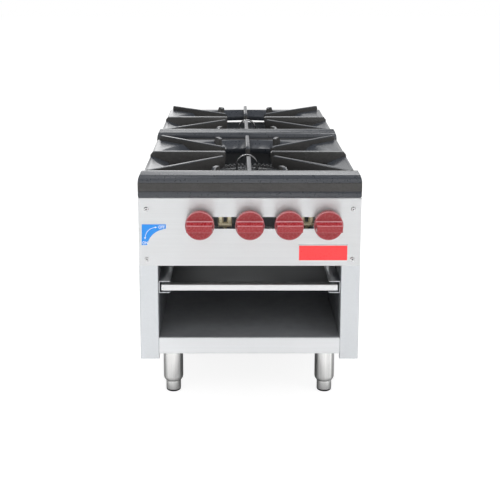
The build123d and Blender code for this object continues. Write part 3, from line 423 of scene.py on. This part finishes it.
def meshFrom(name, verts, faces):
    mesh = bpy.data.meshes.new(name)
    mesh.from_pydata([tuple(v) for v in verts], [], faces)
    mesh.validate()
    bm = bmesh.new()
    bm.from_mesh(mesh)
    bmesh.ops.recalc_face_normals(bm, faces=bm.faces)
    bm.to_mesh(mesh)
    bm.free()
    return mesh


def lathe(name, profile, centre, axis, steps=96):
    # profile holds (radius, distance along the axis) in millimetres, and closes on itself off the axis
    along = {"x": Vector((1, 0, 0)), "y": Vector((0, 1, 0)), "z": Vector((0, 0, 1))}[axis]
    side = Vector((0, 0, 1)) if axis != "z" else Vector((1, 0, 0))
    other = along.cross(side)
    verts, faces, rows = [], [], []
    for radius, distance in profile:
        ring = []
        count = 1 if radius == 0 else steps
        for i in range(count):
            turn = 2 * math.pi * i / steps
            offset = (side * math.cos(turn) + other * math.sin(turn)) * radius + along * distance
            ring.append(len(verts))
            verts.append(Vector(centre) + offset * mm)
        rows.append(ring)
    closed = profile[0][0] != 0
    pairs = list(zip(rows, rows[1:])) + ([(rows[-1], rows[0])] if closed else [])
    for low, high in pairs:
        for i in range(steps):
            j = (i + 1) % steps
            corner = [low[i % len(low)], low[j % len(low)], high[j % len(high)], high[i % len(high)]]
            faces.append(list(dict.fromkeys(corner)))
    return meshFrom(name, verts, faces)


roundShare = 0.45  # the most of a side that one round takes


def roundCorners(points, radius, steps=4):
    # rounds the inner points of an open profile
    rounded = [points[0]]
    for before, here, after in zip(points, points[1:], points[2:]):
        a, b, c = Vector(before), Vector(here), Vector(after)
        reach = min(radius, (a - b).length * roundShare, (c - b).length * roundShare)
        start, end = b + (a - b).normalized() * reach, b + (c - b).normalized() * reach
        for i in range(steps + 1):
            t = i / steps
            rounded.append(tuple((1 - t) ** 2 * start + 2 * t * (1 - t) * b + t ** 2 * end))
    return rounded + [points[-1]]


def curveThrough(start, control, end, steps=14):
    # points on a quadratic curve that the control point pulls
    a, b, c = Vector(start), Vector(control), Vector(end)
    return [tuple((1 - t) ** 2 * a + 2 * t * (1 - t) * b + t ** 2 * c)
            for t in (i / steps for i in range(steps + 1))]


def sharpenFrom(piece, angle):
    piece.data.set_sharp_from_angle(angle=math.radians(angle))


def bakeModifiers(piece):
    graph = bpy.context.evaluated_depsgraph_get()
    graph.update()
    baked = bpy.data.meshes.new_from_object(piece.evaluated_get(graph))
    piece.modifiers.clear()
    piece.data = baked


castingMesh = {"weld": 0.00002, "flat": 1.0, "sharp": 50.0}  # metres, degrees, degrees


def softenedCopy(node, name, width, segments, angle):
    # a finer mesh of a CAD node: flat faces merged, edges rounded
    mesh = nodes[node].data.copy()
    bm = bmesh.new()
    bm.from_mesh(mesh)
    bmesh.ops.remove_doubles(bm, verts=bm.verts, dist=castingMesh["weld"])
    bmesh.ops.dissolve_limit(bm, angle_limit=math.radians(castingMesh["flat"]), verts=bm.verts,
                             edges=bm.edges)
    for edge in bm.edges:
        edge.smooth = True
    bm.to_mesh(mesh)
    bm.free()
    piece = addPiece(name, mesh, bodyOf[node], nodes[node].data.materials[0])
    bevel = piece.modifiers.new("edges", "BEVEL")
    bevel.width = width * mm
    bevel.segments = segments
    bevel.limit_method = "ANGLE"
    bevel.angle_limit = math.radians(angle)
    bevel.harden_normals = True
    bakeModifiers(piece)
    sharpenFrom(piece, castingMesh["sharp"])
    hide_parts(node)
    return piece


# grates and burners
grateEdge = {"width": 0.9, "segments": 2, "angle": 17.0}
toothEdge = {"width": 0.5, "segments": 1, "angle": 50.0}
# millimetres behind the rail or above the panel; upright is how far a side's normal may rise
grateSkin = {"frontDepth": 9.0, "railDepth": 25.0, "bandLow": 13.0, "bandHigh": 30.8, "finFoot": 20.0,
             "upright": 0.4}
burnerSkin = {"upright": 0.5}


def markSandCast(piece, isCast):
    # stores 1 on faces left as cast and 0 on ground ones
    layer = piece.data.attributes.new("sandCast", "FLOAT", "FACE")
    for face in piece.data.polygons:
        layer.data[face.index].value = 1.0 if isCast(face) else 0.0


def castOnGrate(face, front):
    # the band along the rail's front, and the fins' sides
    behind = (face.center[1] - front) / mm
    height = (face.center[2] - panelTop) / mm
    if behind < grateSkin["frontDepth"]:
        return grateSkin["bandLow"] < height < grateSkin["bandHigh"]
    if behind < grateSkin["railDepth"]:
        return False
    return abs(face.normal[2]) < grateSkin["upright"] and height > grateSkin["finFoot"]


for end in ("front", "rear"):
    casting = softenedCopy(f"{end}_grate", f"{end}_grate_casting", **grateEdge)
    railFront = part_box(f"{end}_grate")[0][1]
    markSandCast(casting, lambda face: castOnGrate(face, railFront))
for end in ("front", "rear"):
    for ring in ("inner", "outer"):
        burner = softenedCopy(f"{end}_{ring}_burner", f"{end}_{ring}_burner_casting", **toothEdge)
        markSandCast(burner, lambda face: abs(face.normal[2]) < burnerSkin["upright"])
print("grates and burners made")


# knobs: millimetres in front of the panel's face, and radii
knobShape = {"radius": 29.75, "back": 12.0, "face": 26.0, "front": 52.0, "root": 8.7, "tip": 7.2,
             "edge": 1.1, "rimEdge": 1.4, "rootFillet": 1.9, "backDraft": 1.0, "wellRadius": 25.0,
             "wellDepth": 8.0, "bossRadius": 8.0, "barSunk": 1.0, "endTaper": (0.97, 0.895),
             "endStep": 0.985, "endInset": 0.96, "sharp": 40.0, "steps": 128}
# how pale the painted highlights on the radii are, the front radii paler on top than below, and the limits
# that tell their faces from the rest
knobHighlights = {"top": 0.65, "bottom": 0.25, "rim": 0.28, "edgeShare": 0.9, "flatFrom": 0.97, "middle": 0.1,
            "rootGap": 0.05, "rootBand": 0.3}


def gripBar(centre):
    # a tapered bar with a filleted root, whose ends follow the knob's round side
    shape = knobShape
    face, fillet = shape["face"], shape["rootFillet"]
    meeting = shape["root"] + (shape["tip"] - shape["root"]) * fillet / (shape["front"] - face)
    half = [(-shape["front"], 0), (-shape["front"], shape["tip"]), (-face - fillet, meeting)]
    half = roundCorners(half, shape["edge"], 5)[1:]
    half += curveThrough(half[-1], (-face, shape["root"]), (-face, shape["root"] + fillet), 4)[1:]
    half.append((-face + shape["barSunk"], shape["root"] + fillet))
    section = [(y, -z) for y, z in half[::-1]] + half
    verts, faces = [], []
    count = len(section)
    ends = (-1, -shape["endStep"], shape["endStep"], 1)
    for end in ends:
        inset = shape["endInset"] if abs(end) == 1 else 1.0
        for y, z in section:
            depth = min(1.0, max(0.0, (-face - y) / (shape["front"] - face)))
            taper = shape["endTaper"][0] + depth * (shape["endTaper"][1] - shape["endTaper"][0])
            reach = math.sqrt(shape["radius"] ** 2 - z ** 2) * taper * end
            middle = -face + (y + face) * inset
            verts.append(Vector(centre) + Vector((reach, middle, z * inset)) * mm)
    for k in range(len(ends) - 1):
        for i in range(count):
            j = (i + 1) % count
            faces.append([k * count + i, k * count + j, (k + 1) * count + j, (k + 1) * count + i])
    faces.append(list(range(count)))
    faces.append([(len(ends) - 1) * count + i for i in range(count)][::-1])
    return verts, faces


def markPaintedHighlights(mesh, centre):
    # painted highlights on the bar's front radii, the line at the top of its root, and the disc's rim
    shape, paleness = knobShape, knobHighlights
    layer = mesh.attributes.new("highlightEdge", "FLOAT", "FACE")
    for face in mesh.polygons:
        x, y, z = (face.center - Vector(centre)) / mm
        fromDisc = y + shape["face"]  # less than 0 in front of the disc
        onFront = (abs(y + shape["front"]) < shape["edge"] * paleness["edgeShare"]
                   and abs(face.normal[1]) < paleness["flatFrom"])
        onRoot = (abs(x) < paleness["middle"] and z > shape["root"] - paleness["rootBand"]
                  and -shape["rootFillet"] < fromDisc < -paleness["rootGap"])
        onRim = math.hypot(x, z) > shape["radius"] - shape["rimEdge"] and 0 < fromDisc < shape["rimEdge"]
        pale = 0.0
        if onFront:
            pale = paleness["top"] if z > 0 else paleness["bottom"]
        elif onRoot:
            pale = paleness["top"]
        elif onRim:
            pale = paleness["rim"]
        layer.data[face.index].value = pale


def knobMesh(name, centre):
    # a disc with a hollow back and a boss, and the grip bar in front of it
    shape = knobShape
    radius, back, wellEnd = shape["radius"], -shape["back"], -shape["back"] - shape["wellDepth"]
    profile = [(0, -shape["face"]), (radius, -shape["face"]), (radius, back - shape["backDraft"]),
               (radius - shape["backDraft"], back), (shape["wellRadius"], back),
               (shape["wellRadius"], wellEnd), (shape["bossRadius"], wellEnd), (shape["bossRadius"], back),
               (0, back)]
    profile = roundCorners(profile, shape["rimEdge"], 5)
    body = lathe(name + "_body", profile, centre, "y", shape["steps"])
    bar = meshFrom(name + "_bar", *gripBar(centre))
    bm = bmesh.new()
    bm.from_mesh(body)
    bm.from_mesh(bar)
    bm.to_mesh(body)
    bm.free()
    markPaintedHighlights(body, centre)
    return body


for name in ("rear_inner", "front_inner", "front_outer", "rear_outer"):
    low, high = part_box(f"{name}_knob")
    middle = ((low[0] + high[0]) / 2, panelFace, (low[2] + high[2]) / 2)
    knob = addPiece(f"{name}_knob_moulding", knobMesh(name, middle), bodyOf[f"{name}_knob"],
                    finish["red_phenolic"])
    sharpenFrom(knob, knobShape["sharp"])
    knob.modifiers.new("normals", "WEIGHTED_NORMAL").keep_sharp = True
    bakeModifiers(knob)
    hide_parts(f"{name}_knob")
print("knobs made")

# legs and feet: heights above the floor and radii in millimetres
legShape = {"tube": 21.25, "bore": 14.0, "bottom": 24.35, "lip": 0.7, "rollStart": (2.4, 26.6),
            "rollMiddle": (0.5, 30.2), "rollTop": 34.0, "top": 102.5, "corner": 1.6, "sharp": 40.0}
footShape = {"radius": 16.0, "top": 24.0, "stem": 6.0, "stemTop": 68.9, "underside": 0.02,
             "padStart": (2.6, 0.02), "padMiddle": (0.4, 1.8), "padTop": 4.2, "corner": 1.2, "sharp": 40.0}


def legProfile():
    # a sleeve whose lower end rolls in to the foot
    leg = legShape
    rolled = [(leg["tube"] - inset, height) for inset, height in (leg["rollStart"], leg["rollMiddle"])]
    profile = [(leg["bore"], leg["bottom"]), (footShape["radius"] + leg["lip"], leg["bottom"]), *rolled,
               (leg["tube"], leg["rollTop"]), (leg["tube"], leg["top"]), (leg["bore"], leg["top"])]
    return roundCorners(profile, leg["corner"])


def footProfile():
    # a turned pad with a rounded lower edge, on a threaded stem
    foot = footShape
    rounded = [(foot["radius"] - inset, height) for inset, height in (foot["padStart"], foot["padMiddle"])]
    profile = [(0, foot["underside"]), *rounded, (foot["radius"], foot["padTop"]),
               (foot["radius"], foot["top"]), (foot["stem"], foot["top"]), (foot["stem"], foot["stemTop"]),
               (0, foot["stemTop"])]
    return roundCorners(profile, foot["corner"])


for end in ("front", "rear"):
    for side in ("left", "right"):
        corner = f"{end}_{side}"
        low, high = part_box(f"{corner}_foot")
        centre = ((low[0] + high[0]) / 2, (low[1] + high[1]) / 2, 0)
        sleeve = addPiece(f"{corner}_leg_tube", lathe("tube", legProfile(), centre, "z"),
                          bodyOf[f"{corner}_leg"], finish["leg_tube"])
        sharpenFrom(sleeve, legShape["sharp"])
        pad = addPiece(f"{corner}_foot_turned", lathe("foot", footProfile(), centre, "z"),
                       bodyOf[f"{corner}_foot"], finish["footSteel"])
        sharpenFrom(pad, footShape["sharp"])
        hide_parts(f"{corner}_foot")
print("legs and feet made")


# cross recesses in the panel's screws, drawn as dark crosses of painted shade
finish["recessShade"] = machinedMetal("recessShade", (0.05, 0.05, 0.05), 0.5)
# millimetres from the panel's middle and below its top; the last entry is the painted shade cross's length,
# depth and width
screws = {"side": 212.0, "heights": (-24.0, -130.5), "turns": {-1: (20, 65), 1: (40, 10)}, "head": 2.6,
          "sunk": 0.35, "recessShade": (4.8, 0.78, 1.1)}


def boxMesh(centre, size, turn):
    # a box of a size in millimetres, turned about Y
    corners = [Vector((x, y, z)) for x in (-0.5, 0.5) for y in (-0.5, 0.5) for z in (-0.5, 0.5)]
    spin = Matrix.Rotation(math.radians(turn), 3, "Y")
    scale = Matrix.Diagonal(size)
    verts = [Vector(centre) + spin @ (scale @ corner) * mm for corner in corners]
    faces = [(0, 1, 3, 2), (4, 6, 7, 5), (0, 4, 5, 1), (2, 3, 7, 6), (0, 2, 6, 4), (1, 5, 7, 3)]
    return meshFrom("recessShade", verts, faces)


for side in (-1, 1):
    for k, height in enumerate(screws["heights"]):
        centre = (side * screws["side"] * mm, panelFace - (screws["head"] - screws["sunk"]) * mm,
                  panelTop + height * mm)
        for quarter in (0, 90):
            bar = boxMesh(centre, screws["recessShade"], screws["turns"][side][k] + quarter)
            addPiece(f"recess_{side + 1}_{k}_{quarter}", bar, "range_body",
                     finish["recessShade"], False)
print("screw recesses made")


# labels on the control panel
finish["blueFilm"] = printedFilm("blueFilm", (0.006, 0.235, 0.72))
finish["whitePrint"] = printedFilm("whitePrint", (0.86, 0.87, 0.88))
finish["redPlate"] = printedFilm("redPlate", (0.88, 0.035, 0.04), 0.3)
finish["greyStrip"] = printedFilm("greyStrip", (0.55, 0.56, 0.58), 0.45)


def addLabel(name, mesh, material):
    return addPiece(name, mesh, "range_body", material, False)


def flatPiece(name, outline, material, lift, thickness=0.25):
    # a thin sheet on the panel, from points across it and above its top, in millimetres
    count = len(outline)
    verts = []
    for depth in (lift, lift + thickness):
        verts += [Vector((x * mm, panelFace - depth * mm, panelTop + z * mm)) for x, z in outline]
    faces = [list(range(count)), [count + i for i in range(count)][::-1]]
    faces += [[i, (i + 1) % count, count + (i + 1) % count, count + i] for i in range(count)]
    return addLabel(name, meshFrom(name, verts, faces), material)


def rectangle(left, right, top, bottom):
    return [(left, top), (right, top), (right, bottom), (left, bottom)]


onOffLabel = {"corners": [(-221.6, -56.0), (-171.9, -56.0), (-172.0, -65.0)],
              "curveMiddle": (-205.0, -71.0), "curveEnd": (-210.8, -99.9), "last": (-222.5, -99.9)}
hollowEdge = curveThrough(onOffLabel["corners"][-1], onOffLabel["curveMiddle"], onOffLabel["curveEnd"])
flatPiece("on_off_label", onOffLabel["corners"] + hollowEdge[1:] + [onOffLabel["last"]],
          finish["blueFilm"], 0.0)

turnArrow = {"start": (-214.9, -83.6), "bend": (-212.4, -65.6), "end": (-194.5, -62.6), "steps": 20,
             "width": 0.75, "headLength": 4.2, "headWidth": 3.6, "lift": 0.26, "thickness": 0.04}


def turnArrowPoints(arrow):
    # one outline round a curved line with an arrow head at each end
    line = [Vector(point) for point in
            curveThrough(arrow["start"], arrow["bend"], arrow["end"], arrow["steps"])]
    left, right = [], []
    for i, point in enumerate(line):
        ahead = (line[min(i + 1, len(line) - 1)] - line[max(i - 1, 0)]).normalized()
        across = Vector((-ahead.y, ahead.x)) * arrow["width"] / 2
        left.append(point + across)
        right.append(point - across)
    heads = []
    for tip, neighbour in ((line[-1], line[-2]), (line[0], line[1])):
        out = (tip - neighbour).normalized()
        across = Vector((-out.y, out.x)) * arrow["headWidth"] / 2
        heads.append([tip + across, tip + out * arrow["headLength"], tip - across])
    return [tuple(p) for p in left + heads[0] + right[::-1] + heads[1]]


flatPiece("turn_arrow", turnArrowPoints(turnArrow), finish["whitePrint"], turnArrow["lift"],
          turnArrow["thickness"])

# left edge, middle and height of the capitals, in millimetres
words = {"off_word": {"text": "OFF", "left": -187.7, "middle": -61.6, "height": 6.2},
         "on_word": {"text": "ON", "left": -221.0, "middle": -95.2, "height": 6.0}}
lettering = {"capitals": 0.7, "thickness": 0.04, "bolder": 0.08, "spacing": 1.05, "narrow": 0.84,
             "lift": 0.28, "curveSteps": 4}
for name, word in words.items():
    curve = bpy.data.curves.new(name, "FONT")
    curve.body = word["text"]
    curve.size = word["height"] / lettering["capitals"] * mm
    curve.extrude = lettering["thickness"] * mm
    curve.offset = lettering["bolder"] * mm
    curve.space_character = lettering["spacing"]
    curve.resolution_u = lettering["curveSteps"]
    text = bpy.data.objects.new(name, curve)
    bpy.context.scene.collection.objects.link(text)
    bpy.context.view_layer.update()
    mesh = bpy.data.meshes.new_from_object(text.evaluated_get(bpy.context.evaluated_depsgraph_get()))
    bpy.data.objects.remove(text)
    upright = Matrix.Rotation(math.radians(90), 4, "X")
    narrow = Matrix.Diagonal((lettering["narrow"], 1.0, 1.0, 1.0))
    place = Vector((word["left"] * mm, panelFace - lettering["lift"] * mm,
                    panelTop + (word["middle"] - word["height"] / 2) * mm))
    mesh.transform(Matrix.Translation(place) @ upright @ narrow)
    addLabel(name, mesh, finish["whitePrint"])

plate = {"left": 101.8, "right": 201.3, "top": -101.2, "bottom": -132.5, "thickness": 0.5}
backing = {"left": 1.2, "right": 1.0, "top": 3.2, "thickness": 0.2}  # how far it stands past the plate
strip = rectangle(plate["left"] - backing["left"], plate["right"] + backing["right"],
                  plate["top"] + backing["top"], plate["top"])
flatPiece("plate_backing", strip, finish["greyStrip"], 0.0, backing["thickness"])
flatPiece("blank_plate", rectangle(plate["left"], plate["right"], plate["top"], plate["bottom"]),
          finish["redPlate"], 0.0, plate["thickness"])
print("labels made")

# floor, world and lamps
floorSettings = {"size": 30.0, "grey": 0.9, "cameraDiffuse": 0.3, "cameraGlow": 0.86, "sheet": 0.36,
                 "sheetStart": 0.02, "sheetFade": 0.05}
bpy.ops.mesh.primitive_plane_add(size=floorSettings["size"], location=(0, 0, 0))
floor = bpy.context.object
floor.name = "floor"
floorMaterial = bpy.data.materials.new("floor")
floorMaterial.use_nodes = True
tree = floorMaterial.node_tree
tree.nodes.clear()
output = addNode(tree, "OutputMaterial")
plain = addNode(tree, "BsdfDiffuse")
faint = addNode(tree, "BsdfDiffuse", {"Color": (*[floorSettings["cameraDiffuse"]] * 3, 1)})
glow = addNode(tree, "Emission", {"Strength": floorSettings["cameraGlow"]})
both = addNode(tree, "AddShader")
choose = addNode(tree, "MixShader")
path = addNode(tree, "LightPath")
# painted shade: the floor is darker under and behind the range, and only reflections and bounced light meet
# it
spot = addNode(tree, "SeparateXYZ")
tree.links.new(addNode(tree, "NewGeometry").outputs["Position"], spot.inputs[0])
sheetStart = panelFace + floorSettings["sheetStart"]
floorTone = rangeFrom(tree, spot.outputs["Y"], floorSettings["grey"], floorSettings["sheet"],
                      sheetStart, sheetStart + floorSettings["sheetFade"])
tree.links.new(floorTone, plain.inputs["Color"])
# the camera sees a white floor with a faint shadow
tree.links.new(faint.outputs[0], both.inputs[0])
tree.links.new(glow.outputs[0], both.inputs[1])
tree.links.new(path.outputs["Is Camera Ray"], choose.inputs[0])
tree.links.new(plain.outputs[0], choose.inputs[1])
tree.links.new(both.outputs[0], choose.inputs[2])
tree.links.new(choose.outputs[0], output.inputs[0])
floor.data.materials.append(floorMaterial)

worldSettings = {"ambient": 0.5, "ceiling": (0.1, 0.1, 0.1), "whiteTo": 0.34, "dimFrom": 0.6,
                 "flag": (0.35, 0.35, 0.35), "flagFrom": 0.5, "flagTo": 0.72}
white = (1.0, 1.0, 1.0)
world = bpy.data.worlds.new("studio")
bpy.context.scene.world = world
world.use_nodes = True
tree = world.node_tree
tree.nodes.clear()
output = addNode(tree, "OutputWorld")
ambient = addNode(tree, "Background", {"Color": (*white, 1), "Strength": worldSettings["ambient"]})
backdrop = addNode(tree, "Background", {"Strength": 1.0})
choose = addNode(tree, "MixShader")
path = addNode(tree, "LightPath")
seen = mathFrom(tree, "MAXIMUM", path.outputs["Is Camera Ray"], path.outputs["Is Glossy Ray"])
tree.links.new(mathFrom(tree, "MAXIMUM", seen, path.outputs["Is Transmission Ray"]), choose.inputs[0])
tree.links.new(ambient.outputs[0], choose.inputs[1])
tree.links.new(backdrop.outputs[0], choose.inputs[2])
tree.links.new(choose.outputs[0], output.inputs[0])
# the mirrored world is white up to a height, and the studio's dimmer ceiling above it
direction = addNode(tree, "SeparateXYZ")
tree.links.new(addNode(tree, "TexCoord").outputs["Generated"], direction.inputs[0])
studio = rampFrom(tree, direction.outputs["Z"],
                  [(worldSettings["whiteTo"], white), (worldSettings["dimFrom"], worldSettings["ceiling"])])
# two dark flags stand at the studio's sides, and the camera sees plain white everywhere
sideways = mathFrom(tree, "ABSOLUTE", direction.outputs["X"])
flags = rampFrom(tree, sideways,
                 [(worldSettings["flagFrom"], white), (worldSettings["flagTo"], worldSettings["flag"])])
mirrored = blendColours(tree, 1.0, studio, flags, "MULTIPLY")
tree.links.new(blendColours(tree, path.outputs["Is Camera Ray"], mirrored, white), backdrop.inputs["Color"])

# places and sizes in metres, power in watts; depth is the size across where it differs
# a lamp that isn't mirrored doesn't show in gloss
lampTarget = Vector((0, -0.1, 0.3))
lamps = {
    "keyLamp": {"place": (-1.6, -3.0, 2.8), "size": 2.2, "power": 20},
    "fillLamp": {"place": (2.4, -2.2, 1.8), "size": 2.0, "power": 19},
    "topLamp": {"place": (0.0, -0.06, 3.0), "size": 3.2, "depth": 0.9, "power": 74},
    "lowLamp": {"place": (0.2, -3.4, 0.6), "size": 1.2, "power": 28, "mirrored": False},
    "backLamp": {"place": (-1.2, 3.2, 1.6), "size": 2.0, "power": 22},
}
for name, lamp in lamps.items():
    data = bpy.data.lights.new(name, "AREA")
    data.shape = "RECTANGLE"
    data.size = lamp["size"]
    data.size_y = lamp.get("depth", lamp["size"])
    data.energy = lamp["power"]
    light = bpy.data.objects.new(name, data)
    light.location = lamp["place"]
    light.rotation_euler = (lampTarget - Vector(lamp["place"])).to_track_quat("-Z", "Y").to_euler()
    light.visible_glossy = lamp.get("mirrored", True)
    bpy.context.scene.collection.objects.link(light)
print("stage made")
